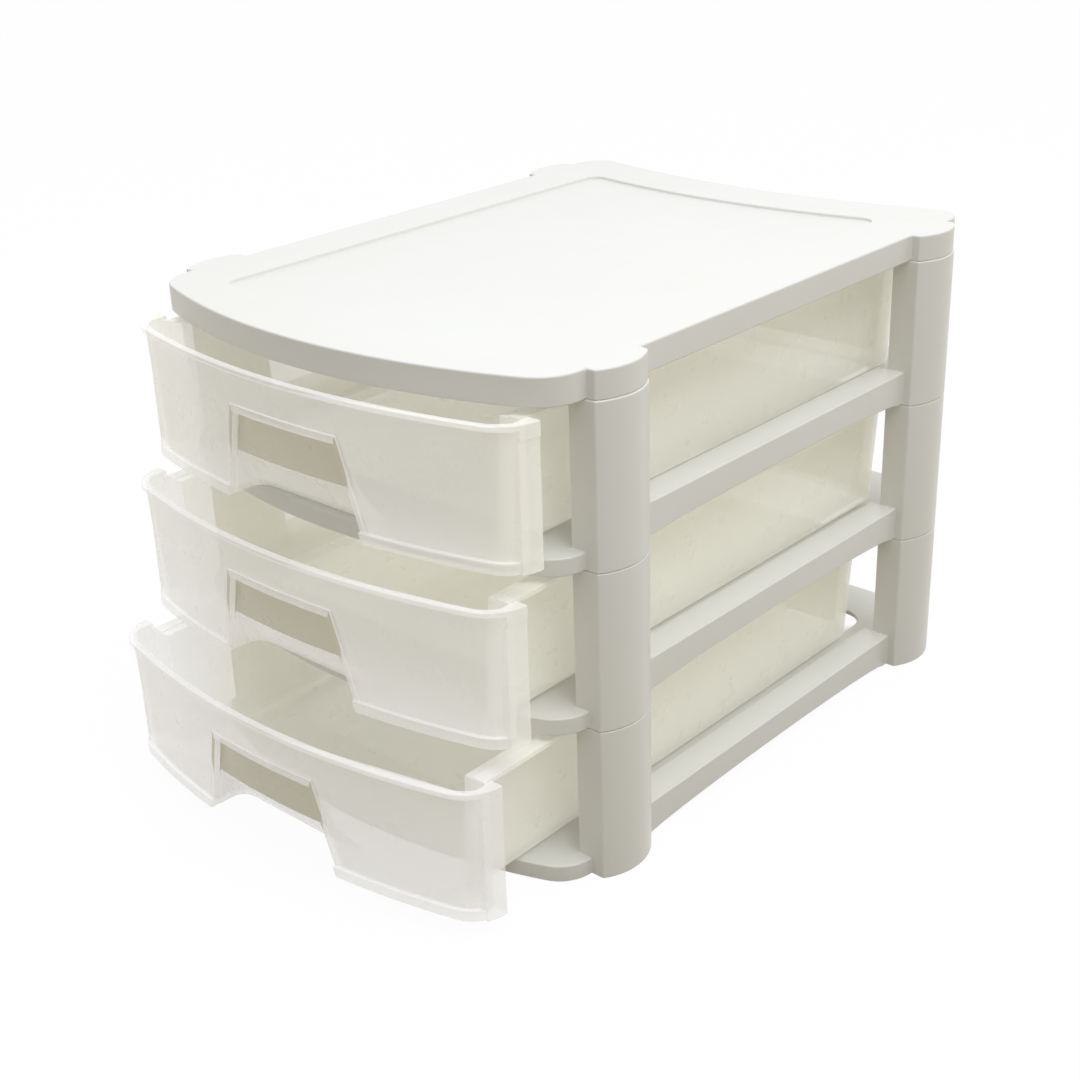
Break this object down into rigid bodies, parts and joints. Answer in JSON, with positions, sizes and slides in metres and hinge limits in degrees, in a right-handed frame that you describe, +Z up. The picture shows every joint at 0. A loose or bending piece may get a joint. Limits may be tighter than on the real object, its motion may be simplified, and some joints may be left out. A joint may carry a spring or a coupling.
{
  "type": "desktop mini drawers",
  "caption": "Desktop mini drawers: bowed translucent trays with finger pockets slide in stacked plastic tiers, under a flat lid with a sunk middle.",
  "frame": {"origin": "on the floor, midway between the flat faces of the front posts and those of the rear posts, and midway between the sides", "axes": "+Z up; -Y is the way the drawers pull out; +X is to the right of a person who faces the drawers"},
  "size_m": [0.1886, 0.2781, 0.1681],
  "materials": {
    "frame_plastic": "glossy moulded warm-white plastic",
    "drawer_plastic": "translucent milky moulded plastic"
  },
  "bodies": {
    "cabinet": {"lid": "frame_plastic", "tier_top": "frame_plastic", "tier_middle": "frame_plastic", "tier_bottom": "frame_plastic"},
    "drawer_top": {"drawer_top": "drawer_plastic"},
    "drawer_middle": {"drawer_middle": "drawer_plastic"},
    "drawer_bottom": {"drawer_bottom": "drawer_plastic"}
  },
  "joints": [
    {"name": "drawer_top_slide", "type": "slide", "parent": "cabinet", "child": "drawer_top", "axis": [0, -1, 0], "range_m": [-0.0162, 0.0938]},
    {"name": "drawer_middle_slide", "type": "slide", "parent": "cabinet", "child": "drawer_middle", "axis": [0, -1, 0], "range_m": [-0.0242, 0.0858]},
    {"name": "drawer_bottom_slide", "type": "slide", "parent": "cabinet", "child": "drawer_bottom", "axis": [0, -1, 0], "range_m": [-0.0376, 0.0724]}
  ]
}
